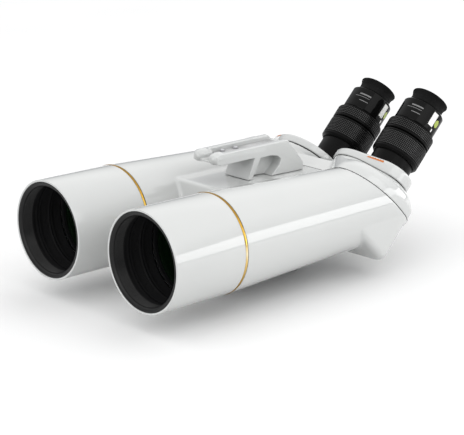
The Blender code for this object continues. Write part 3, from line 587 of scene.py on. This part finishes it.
def housing_solid(side):
    """One prism housing with the turret's hole in its top."""
    points = (housing_section(side, SEAM - 2 * MM, SEAM_LEVEL) + housing_section(side, SEAM, SEAM_LEVEL)
              + housing_section(side, SHOULDER, SHOULDER_LEVEL) + housing_section(side, BROW, BROW_LEVEL)
              + lobe_points(side, 0, 0.8 * MM))
    solid = mesh_of("housing", hull(points))
    hole = []
    for d in (HOUSING_TOP - 14 * MM, HOUSING_TOP + 5 * MM):
        hole += [tilted(side * AXIS_X + PIVOT_HOLE * math.cos(t), PIVOT_E + PIVOT_HOLE * math.sin(t), d)
                 for t in turns(64)]
    return subtract(solid, mesh_of("hole", hull(hole)))


def middle_solid(bridge_rear):
    """The valley between the two housings."""
    front = (bridge_rear - deck(bridge_rear)) / ROOT2
    half = 43 * MM
    rear = REAR_FACE - 0.5 * MM
    points = [tilted(hand * half, e, d) for hand in (1, -1)
              for e, d in ((front, SEAM - 2 * MM), (rear, SEAM - 2 * MM), (front + 8 * MM, VALLEY_TOP),
                           (rear, VALLEY_TOP))]
    return mesh_of("middle", hull(points))


def true_barrels(mesh):
    """Moves the softened skin's points back onto the exact cones wherever it is a barrel's skin."""
    points = coordinates(mesh)
    local = points - np.array(ORIGIN)
    for _, side in SIDES:
        across = local[:, [0, 2]] - np.array([side * AXIS_X, 0])
        radius = np.linalg.norm(across, axis=1)
        wanted = barrel_radius(local[:, 1])
        below_seam = (local[:, 1] + local[:, 2]) / ROOT2 < SEAM
        off = np.abs(radius - wanted)
        share = np.clip((0.55 * MM - off) / (0.3 * MM), 0, 1) * below_seam
        change = (1 + share * (wanted / np.maximum(radius, 1e-6) - 1))[:, None]
        local[:, [0, 2]] = across * change + np.array([side * AXIS_X, 0])
    mesh.vertices.foreach_set("co", (local + np.array(ORIGIN)).ravel())


def shell(name, source, cuts, body, node):
    """The part of the skin inside the cutting planes, as a thin wall whose cut edges carry painted shade.
    """
    work = bmesh.new()
    work.from_mesh(source)
    for point, normal in cuts:
        cut_away(work, point, normal, fill=False)
    mesh = mesh_of(name, work)
    piece = add(name, mesh, WHITE, SEAM_SHADE)
    wall = piece.modifiers.new("wall", "SOLIDIFY")
    wall.thickness = WALL
    wall.offset = -1
    # the wall's cut edges take the second material, the painted seam shade
    wall.material_offset_rim = 1
    for face in mesh.polygons:
        face.use_smooth = True
    stand_in(piece, body, "white_enamel", node)


def make_castings():
    """One fused skin for both castings, split at the seam."""
    bridge, bridge_rear = bridge_solid()
    solids = [bridge, middle_solid(bridge_rear)]
    for _, side in SIDES:
        points = box_section(side, SEAM, 5 * MM)
        for turn in (math.radians(15 * i) for i in range(7)):
            points += box_section(side, CHIN + CHIN_ROUNDING * (1 - math.sin(turn)), 5 * MM,
                                  CHIN_ROUNDING * (1 - math.cos(turn)))
        box = hull(points)
        solids += [barrel_solid(side), mesh_of("box", box), housing_solid(side)]
    skin = cast(solids, CASTING_VOXEL, 7)
    true_barrels(skin)
    front = (tube(0, BARREL_START, 0), Vector((0, -1, 0)))
    shell("main_casting_skin", skin, [front, (tilted(0, 0, SEAM - SEAM_GROOVE), AXIS)], "housing",
          "main_casting")
    shell("rear_casting_skin", skin, [(tilted(0, 0, SEAM + SEAM_GROOVE), -AXIS)], "housing",
          "rear_casting")


# --- front end --------------------------------------------------------------------------------------
def liner_profile():
    """The liner's (r, h) outline: a bevelled mouth, a fine thread and two raised rings."""
    profile = [(LINER_RADIUS, LINER_DEPTH), (LINER_RADIUS, 0.25 * MM), (LINER_RADIUS - 1.2 * MM, 0.2 * MM),
               (APERTURE + 0.9 * MM, 1.6 * MM), (APERTURE + 0.3 * MM, 2.2 * MM)]
    y = 3.0 * MM
    while y < LINER_DEPTH - THREAD_PITCH:
        raised = 0.0
        for start, length in RAISED_RINGS:
            if start < y < start + length:
                raised = RAISED_HEIGHT * math.sin(math.pi * (y - start) / length) ** 0.5
        floor = APERTURE + 2.0 * MM * min(1, max(0, (y - 14 * MM) / (4 * MM))) + THREAD_DEPTH
        profile += [(floor - raised, y), (floor - raised - THREAD_DEPTH, y + THREAD_PITCH * 0.5)]
        y += THREAD_PITCH
    return profile + [(APERTURE + 2.3 * MM, LINER_DEPTH)]


def make_front_end(hand, side):
    """Dew shield, ridged liner, gold band, cell and lens of one barrel."""
    place = look_along(tube(side * AXIS_X, 0, 0), (0, 1, 0))
    rear = SHIELD_LENGTH - GAP
    shield = [(SHIELD_RADIUS, rear), (SHIELD_RADIUS, 0), (LINER_RADIUS + GAP, 0),
              (LINER_RADIUS + GAP, rear)]
    piece = lathe("dew_shield_skin_" + hand, fillet(shield, 0.6 * MM), place, WHITE, steps=192)
    stand_in(piece, "housing", "white_enamel", "dew_shield_" + hand)

    piece = lathe("shield_liner_skin_" + hand, liner_profile(), place, FLOCK, LIP, steps=128, sharp=80)
    lip_edge = place.translation.y + LIP_DEPTH
    # faces near the mouth take the glossier, lighter lip material: painted light
    for face in piece.data.polygons:
        if face.center.y < lip_edge:
            face.material_index = 1
    stand_in(piece, "housing", "matt_black", "shield_liner_" + hand)

    low, high = TRIM_LOW.y - FRONT_Y, TRIM_HIGH.y - FRONT_Y
    outer = SHIELD_RADIUS + 0.3 * MM
    mid = (low + high) / 2
    band = [(outer - 4 * MM, high), (outer - 0.5 * MM, high), (outer - 0.1 * MM, high - 0.5 * MM),
            (outer, mid), (outer - 0.1 * MM, low + 0.5 * MM), (outer - 0.5 * MM, low),
            (outer - 4 * MM, low)]
    piece = lathe("trim_ring_skin_" + hand, band, place, GOLD, steps=192, sharp=60)
    stand_in(piece, "housing", "gold_trim", "trim_ring_" + hand)

    low, high, radius, _ = along("crown_lens_" + hand, place.translation, (0, 1, 0))
    bulge, edge = 3.0 * MM, low + 3.0 * MM
    face_points = [(radius * math.sin(t), edge - bulge * math.cos(t) ** 2)
                   for t in (math.pi / 2 * i / 16 for i in range(17))]
    profile = [(0, high)] + [(radius, high)] + face_points[::-1]
    piece = lathe("crown_lens_skin_" + hand, profile, place, GLASS, steps=96, closed=False)
    stand_in(piece, "housing", "coated_glass", "crown_lens_" + hand)

    low, high, radius, bore = along("lens_retaining_ring_" + hand, place.translation, (0, 1, 0))
    profile = [(radius, high), (radius, low), (radius - 0.5 * MM, low),
               (bore + 0.3 * MM, high - 0.6 * MM), (bore, high)]
    piece = lathe("lens_retaining_ring_skin_" + hand, fillet(profile, 0.3 * MM), place, FLOCK)
    stand_in(piece, "housing", "black_anodised", "lens_retaining_ring_" + hand)

    low, high, radius, bore = along("objective_cell_" + hand, place.translation, (0, 1, 0))
    shelf = 65 * MM
    profile = [(radius, high), (radius, low), (radius - 1.0 * MM, low),
               (radius - 2.0 * MM, low + 1.2 * MM), (radius - 2.0 * MM, shelf), (bore, shelf), (bore, high)]
    piece = lathe("objective_cell_skin_" + hand, fillet(profile, 0.4 * MM, 3), place, FLOCK)
    stand_in(piece, "housing", "matt_black", "objective_cell_" + hand)


# --- turret -----------------------------------------------------------------------------------------
def make_turret(hand, side):
    """The turret's shell with its rounded top edge, its scale and the scale's ticks."""
    floor = GAP
    levels = [(floor, 0.5 * MM), (floor + 0.5 * MM, 0)]
    for i in range(7):
        turn = math.radians(90) * i / 6
        levels.append((floor + TURRET_HEIGHT - TURRET_ROUNDING * (1 - math.sin(turn)),
                       TURRET_ROUNDING * (1 - math.cos(turn))))
    points = []
    for height, inset in levels:
        points += lobe_points(side, height, inset, droop=True)
    inside = lobe_points(side, -MM, TURRET_WALL) + lobe_points(side, 9 * MM, TURRET_WALL, droop=True)
    inside += lobe_points(side, floor + TURRET_HEIGHT - TURRET_WALL, TURRET_WALL + 1.5 * MM,
                          droop=True)
    solid = subtract(mesh_of("turret", hull(points)), mesh_of("inside", hull(inside)))
    eye = Vector(JOINTS["focus_turn_" + hand]["pos_m"])
    place = look_along(eye, AXIS)
    bore = along("focuser_tube_" + hand, eye)[2] + GAP
    drill = hull([place @ Vector((bore * math.cos(t), bore * math.sin(t), z))
                  for z in (-6 * MM, 6 * MM) for t in turns(96)])
    solid = subtract(solid, mesh_of("drill", drill))
    piece = add("turret_skin_" + hand, cast([solid], 0.6 * MM, 5), WHITE)
    stand_in(piece, "turret_" + hand, "white_enamel", "turret_shell_" + hand)
    stand_in(rim_mark("turret_scale_" + hand, side, -0.04, 0.66, ORANGE), "turret_" + hand, "gloss_black")
    for i in range(6):
        start = 0.04 + 0.11 * i
        tick = rim_mark(f"turret_tick_{i}_{hand}", side, start, start + 0.05, PRINT_BROWN, 0.10 * MM,
                        20 + 15 * (i % 2))
        stand_in(tick, "turret_" + hand, "gloss_black")


def thin_plate(name, verts, across, up, mat):
    """A closed plate from two layers of across by up points, the lower layer first."""
    size = across * up
    faces = []
    for j in range(up - 1):
        for i in range(across - 1):
            a = j * across + i
            faces += [(a, a + across, a + across + 1, a + 1),
                      (size + a, size + a + 1, size + a + across + 1, size + a + across)]
    border = ([i for i in range(across)] + [j * across + across - 1 for j in range(1, up)]
              + [(up - 1) * across + i for i in range(across - 2, -1, -1)]
              + [j * across for j in range(up - 2, 0, -1)])
    faces += [(a, b, b + size, a + size) for a, b in zip(border, border[1:] + border[:1])]
    mesh = bpy.data.meshes.new(name)
    mesh.from_pydata(verts, [], faces)
    mesh.update()
    return add(name, mesh, mat)


def rim_mark(name, side, start, end, mat, raised=0.0, lowest=12):
    """A printed strip on the turret's rounded top edge, along its straight front between two lobes.

    start and end are shares of the way from the nose to the pivot; lowest is the angle in degrees at
    which the strip starts on the rounding, and a strip that starts low also runs onto the wall.
    """
    (_, _, pivot_radius, pivot_share), (x, e, nose_radius, nose_share) = LOBES
    reach = math.hypot(x, e)
    turn = math.atan2(-e, -x) - math.acos((nose_radius - pivot_radius) / reach)
    out = Vector((math.cos(turn), math.sin(turn)))
    rounding = TURRET_ROUNDING
    verts = []
    leans = [(0, -0.5 * MM)] * (lowest < 15) + [(lowest + (82 - lowest) * j / 5, 0) for j in range(6)]
    across, up = 7, len(leans)
    for lift in (0.02 * MM, 0.16 * MM + raised):
        for lean, drop in leans:
            lean = math.radians(lean)
            for i in range(across):
                t = start + (end - start) * i / (across - 1)
                share = nose_share + (pivot_share - nose_share) * t
                radius = nose_radius + (pivot_radius - nose_radius) * t
                middle = Vector((x * (1 - t), e * (1 - t)))
                inset = rounding * (1 - math.cos(lean)) - lift * math.cos(lean)
                point = middle + out * (radius - inset)
                d = (HOUSING_TOP + share * (GAP + TURRET_HEIGHT - rounding * (1 - math.sin(lean)))
                     + lift * math.sin(lean) + drop)
                verts.append(tilted(side * (AXIS_X + point.x), PIVOT_E + point.y, d))
    return thin_plate(name, verts, across, up, mat)


# --- eyepiece ---------------------------------------------------------------------------------------
def knurl(name, place, radius, low, high, rows):
    """A band of small raised squares round an axis, with a plain inner face."""
    cells, depth = KNURL_CELLS, KNURL_DEPTH
    corner_u = (0.0, 0.14, 0.30, 0.86)
    turns = np.array([(i + u) / cells for i in range(cells) for u in corner_u]) * 2 * math.pi
    up_u = np.array([0, 0, 1, 1] * cells)
    steps = [(j + v) / rows for j in range(rows) for v in corner_u] + [1.0]
    up_v = np.array([0, 0, 1, 1] * rows + [0])
    inner = radius - 3 * depth
    verts, faces = [], []
    around = len(turns)
    for step, raised in zip(steps, up_v):
        r = radius - depth * (1 - raised * up_u)
        z = low + (high - low) * step
        verts += [place @ Vector((a * math.cos(t), a * math.sin(t), z)) for a, t in zip(r, turns)]
    for z in (high, low):
        verts += [place @ Vector((inner * math.cos(t), inner * math.sin(t), z)) for t in turns]
    rings = len(steps) + 2
    for j in range(rings):
        a, b = j * around, (j + 1) % rings * around
        faces += [(a + k, a + (k + 1) % around, b + (k + 1) % around, b + k) for k in range(around)]
    mesh = bpy.data.meshes.new(name)
    mesh.from_pydata(verts, [], faces)
    mesh.update()
    piece = add(name, mesh, KNURL, BLACK)
    # raised squares take the lighter material, a painted highlight on their tops; the rest keeps the ring's
    # black
    top = radius - 0.3 * depth
    for face in mesh.polygons:
        reach = (place.inverted() @ face.center).xy.length
        face.material_index = 0 if reach > top else 1
    return piece


def patch(name, place, radius, middle, half_turn, low, high, mat, rounded):
    """A thin coloured mark on a round wall; middle and half_turn are angles in degrees."""
    across, up = 13, 9
    verts = []
    for r in (radius - 0.05 * MM, radius + MARK_THICKNESS):
        for j in range(up):
            v = j / (up - 1)
            z = low + (high - low) * v
            reach = math.sqrt(max(0.02, 1 - (2 * v - 1) ** 2)) if rounded else 1.0
            for i in range(across):
                turn = math.radians(middle + half_turn * reach * (2 * i / (across - 1) - 1))
                verts.append(place @ Vector((r * math.cos(turn), r * math.sin(turn), z)))
    return thin_plate(name, verts, across, up, mat)


def make_eyepiece(hand, side):
    """Everything on one eyepiece axis, from the turret's collar to the eyecup."""
    eye = Vector(JOINTS["focus_turn_" + hand]["pos_m"])
    place = look_along(eye, AXIS)
    turret, draw, eyepiece = "turret_" + hand, "draw_tube_body_" + hand, "eyepiece_" + hand

    low, high, radius, bore = along("focuser_tube_" + hand, eye)
    profile = [(radius, high), (radius, 0.6 * MM), (radius, low), (bore, low), (bore, high)]
    piece = lathe("focuser_tube_skin_" + hand, fillet(profile, 0.3 * MM, 3), place, BLACK)
    stand_in(piece, turret, "black_anodised", "focuser_tube_" + hand)

    low, high, radius, bore = along("focus_ring_" + hand, eye)
    tube_radius = along("focuser_tube_" + hand, eye)[2]
    body = radius - KNURL_DEPTH
    profile = [(body, high), (body + 0.5 * MM, high - 0.8 * MM), (body + 0.5 * MM, high - 2.2 * MM),
               (body - 0.2 * MM, high - 2.4 * MM), (body - 0.2 * MM, low + 4.4 * MM),
               (body + 0.5 * MM, low + 4.2 * MM), (body + 0.5 * MM, low + 2.6 * MM),
               (radius - 2.2 * MM, low), (tube_radius + GAP, low), (tube_radius + GAP, high - 2.6 * MM),
               (bore, high - 2.6 * MM), (bore, high)]
    piece = lathe("focus_ring_skin_" + hand, fillet(profile, 0.3 * MM, 3), place, BLACK)
    stand_in(piece, "focus_ring_body_" + hand, "black_anodised", "focus_ring_" + hand)
    piece = knurl("focus_knurl_" + hand, place, radius, low + 4.6 * MM, high - 2.5 * MM, 9)
    stand_in(piece, "focus_ring_body_" + hand, "black_anodised")

    low, high, radius, bore = along("draw_tube_" + hand, eye)
    profile = [(radius, high), (radius, low), (bore, low), (bore, high)]
    piece = lathe("draw_tube_skin_" + hand, fillet(profile, 0.3 * MM, 3), place, BLACK)
    stand_in(piece, draw, "black_anodised", "draw_tube_" + hand)

    low, high, radius, bore = along("clamp_ring_" + hand, eye)
    body = radius - KNURL_DEPTH
    profile = [(radius - 2.6 * MM, high), (radius - 0.3 * MM, high - 1.8 * MM),
               (body - 0.1 * MM, high - 2.4 * MM), (body - 0.1 * MM, low + 2.2 * MM),
               (radius, low + 2.0 * MM), (radius, low + 0.5 * MM), (radius - 0.5 * MM, low),
               (bore, low), (bore, high)]
    piece = lathe("clamp_ring_skin_" + hand, fillet(profile, 0.3 * MM, 3), place, BLACK)
    stand_in(piece, "clamp_ring_body_" + hand, "black_anodised", "clamp_ring_" + hand)
    piece = knurl("clamp_knurl_" + hand, place, radius, low + 2.4 * MM, high - 2.5 * MM, 5)
    stand_in(piece, "clamp_ring_body_" + hand, "black_anodised")

    low, high, radius, bore = along("eyepiece_barrel_" + hand, eye)
    neck, shoulder, socket = 16.4 * MM, high - 3.2 * MM, 16.2 * MM
    profile = [(neck, high), (neck, shoulder), (radius - 1.8 * MM, shoulder),
               (radius, shoulder - 1.8 * MM), (radius, low + 1.2 * MM), (radius - 0.5 * MM, low),
               (socket, low), (socket, low + 6 * MM), (bore, low + 6 * MM), (bore, high)]
    piece = lathe("eyepiece_barrel_skin_" + hand, fillet(profile, 0.4 * MM, 4), place, GLOSS)
    stand_in(piece, eyepiece, "gloss_black", "eyepiece_barrel_" + hand)
    span = shoulder - low
    turned = 0 if side == 1 else RIGHT_EYEPIECE_TURN
    # name, middle and half turn in degrees, start and end as shares of the span, material, rounded ends
    marks = (("wide_mark", -66, 17, 0.62, 0.68, PRINT, False),
             ("thin_mark", -72, 22, 0.52, 0.54, PRINT, False),
             ("small_mark", -62, 13, 0.34, 0.37, PRINT, False),
             # the block is a plain white patch on the glossy barrel
             ("block", -10 + turned, 8.5, 0.24, 0.84, WHITE_PATCH, False),
             ("dot", 9 + turned, 8.5, 0.34, 0.68, PRINT_GREEN, True),
             ("tick", 3 + turned, 2.2, 0.06, 0.20, WHITE_PATCH, False))
    for mark, middle, half_turn, start, end, mat, rounded in marks:
        piece = patch(f"{mark}_{hand}", place, radius, middle, half_turn, low + span * start,
                      low + span * end, mat, rounded)
        stand_in(piece, eyepiece, "gloss_black")

    low, high, radius, bore = along("eyepiece_nosepiece_" + hand, eye)
    profile = [(radius, high), (radius, low + 1.0 * MM), (radius - 0.8 * MM, low), (bore, low),
               (bore, high)]
    piece = lathe("eyepiece_nosepiece_skin_" + hand, fillet(profile, 0.3 * MM, 3), place, CHROME)
    stand_in(piece, eyepiece, "chrome", "eyepiece_nosepiece_" + hand)

    low, high, radius, bore = along("eyecup_" + hand, eye)
    waist = 18.0 * MM
    profile = [(radius - 0.5 * MM, high), (radius, high - 0.5 * MM), (radius - 0.25 * MM, high - 1.8 * MM),
               (radius - 1.2 * MM, high - 3.6 * MM), (waist, high - 6.2 * MM),
               (waist + 0.1 * MM, low + 3.2 * MM), (waist + 0.6 * MM, low + 1.0 * MM),
               (waist + 0.6 * MM, low), (bore, low), (bore, high - 6 * MM),
               (bore + 0.9 * MM, high - 3 * MM), (radius - 1.6 * MM, high - 0.5 * MM)]
    piece = lathe("eyecup_skin_" + hand, fillet(profile, 0.7 * MM, 4), place, RUBBER, sharp=50)
    stand_in(piece, eyepiece, "rubber", "eyecup_" + hand)

    low, high, radius, _ = along("eye_lens_" + hand, eye)
    bulge = 1.2 * MM
    dome = [(radius * math.sin(t), high - bulge + bulge * math.cos(t) ** 2)
            for t in (math.pi / 2 * i / 12 for i in range(13))]
    piece = lathe("eye_lens_skin_" + hand, dome + [(radius, low + 1.5 * MM), (0, low)], place, GLASS,
                  steps=64, closed=False)
    stand_in(piece, eyepiece, "coated_glass", "eye_lens_" + hand)


# --- handle, foot and the nodes that stay -----------------------------------------------------------
def recast(node, name, voxel, rounds, mat, slot_name):
    """A CAD node with its edges softened."""
    piece = add(name, cast([NODES[node].data.copy()], voxel, rounds), mat)
    stand_in(piece, "housing", slot_name, node)


def make_rest():
    """The handle, the foot and the shoe, and new finishes for the nodes that show as they are."""
    recast("carry_handle", "carry_handle_skin", 0.6 * MM, 3, WHITE, "white_enamel")
    recast("foot_block", "foot_block_skin", 0.9 * MM, 4, BLACK, "black_anodised")
    recast("finder_shoe", "finder_shoe_skin", 0.45 * MM, 2, GREY, "grey_anodised")
    for end in ("front", "rear"):
        for kind in ("shoe_screw_", "handle_screw_", "foot_screw_"):
            keep(kind + end, STEEL)
    for hand, _ in SIDES:
        keep("flint_lens_" + hand, GLASS)
        keep("field_lens_" + hand, GLASS)
        keep("barrel_baffle_" + hand, FLOCK)
        keep("roof_prism_" + hand, PRISM)
        keep("rhomboid_prism_" + hand, PRISM)
        keep("prism_bracket_" + hand, BLACK)
        keep("turret_base_" + hand, BLACK)
        keep("turret_retaining_ring_" + hand, STEEL)


# --- stage, lights and camera -----------------------------------------------------------------------
CAMERA_PLACE = (1.2324835, -1.1794754, 0.5431191)
CAMERA_ANGLES = (47.343, 16.086, -0.143)       # azimuth, elevation and roll in degrees
FOCAL_LENGTH, SENSOR_WIDTH = 139.388, 36.0     # in millimetres
ROOM_BRIGHTNESS = 1.38
ROOM_STOPS = ((0.05, (0.20, 0.21, 0.22)), (0.60, (1.0, 1.0, 1.0)))     # from the horizon up
FLOOR_TONES = (0.77, 0.79)


def area_light(name, place, target, width, height, power):
    """A rectangular softbox that faces its target."""
    light = bpy.data.lights.new(name, "AREA")
    light.shape = "RECTANGLE"
    light.size, light.size_y = width, height
    light.energy = power
    lamp = bpy.data.objects.new(name, light)
    lamp.location = place
    lamp.rotation_euler = (Vector(target) - Vector(place)).to_track_quat("-Z", "Y").to_euler()
    bpy.context.scene.collection.objects.link(lamp)


def make_stage():
    """The pale floor, the room's light and three softboxes."""
    half = 6.0
    mesh = bpy.data.meshes.new("floor")
    mesh.from_pydata([(-half, -half, 0), (half, -half, 0), (half, half, 0), (-half, half, 0)], [],
                     [(0, 1, 2, 3)])
    floor_mat = material("floor", (0.9, 0.9, 0.9), 0.8)
    vary(floor_mat, "Base Color", noise(floor_mat, 3), *((tone,) * 3 for tone in FLOOR_TONES))
    add("floor", mesh, floor_mat)
    bpy.context.scene.world = studio_world()
    bpy.context.scene.view_settings.view_transform = "Standard"
    area_light("side_softbox", (1.10, 1.03, 0.29), (0, 0, 0.07), 2.6, 0.40, 9)
    area_light("key_softbox", (1.5, 0.15, 1.15), (0, 0, 0.08), 1.3, 1.3, 5)
    area_light("front_softbox", (0.35, -1.9, 0.60), (0, 0, 0.07), 1.2, 0.9, 8)


def studio_world():
    """A bright ceiling over dimmer walls."""
    world = bpy.data.worlds.new("studio")
    world.use_nodes = True
    tree = world.node_tree
    place = tree.nodes.new("ShaderNodeTexCoord")
    split = tree.nodes.new("ShaderNodeSeparateXYZ")
    ramp = tree.nodes.new("ShaderNodeValToRGB")
    for stop, (position, colour) in zip(ramp.color_ramp.elements, ROOM_STOPS):
        stop.position, stop.color = position, (*colour, 1)
    tree.links.new(place.outputs["Generated"], split.inputs["Vector"])
    tree.links.new(split.outputs["Z"], ramp.inputs["Fac"])
    tree.links.new(ramp.outputs["Color"], tree.nodes["Background"].inputs["Color"])
    tree.nodes["Background"].inputs["Strength"].default_value = ROOM_BRIGHTNESS
    return world


def make_camera():
    """Looks from the observer's left and in front, a little above."""
    azimuth, elevation, roll = (math.radians(angle) for angle in CAMERA_ANGLES)
    forward = Vector((-math.sin(azimuth) * math.cos(elevation), math.cos(azimuth) * math.cos(elevation),
                      -math.sin(elevation)))
    flat = Vector((math.cos(azimuth), math.sin(azimuth), 0))
    up = flat.cross(forward)
    right = math.cos(roll) * flat + math.sin(roll) * up
    upward = -math.sin(roll) * flat + math.cos(roll) * up
    lens = bpy.data.cameras.new("camera")
    lens.lens, lens.sensor_width = FOCAL_LENGTH, SENSOR_WIDTH
    camera = bpy.data.objects.new("camera", lens)
    camera.matrix_world = (Matrix.Translation(CAMERA_PLACE)
                           @ Matrix((right, upward, -forward)).transposed().to_4x4())
    bpy.context.scene.collection.objects.link(camera)
    bpy.context.scene.camera = camera


# --- build ------------------------------------------------------------------------------------------
make_castings()
for side_name, side_sign in SIDES:
    make_front_end(side_name, side_sign)
    make_turret(side_name, side_sign)
    make_eyepiece(side_name, side_sign)
make_rest()
make_stage()
make_camera()
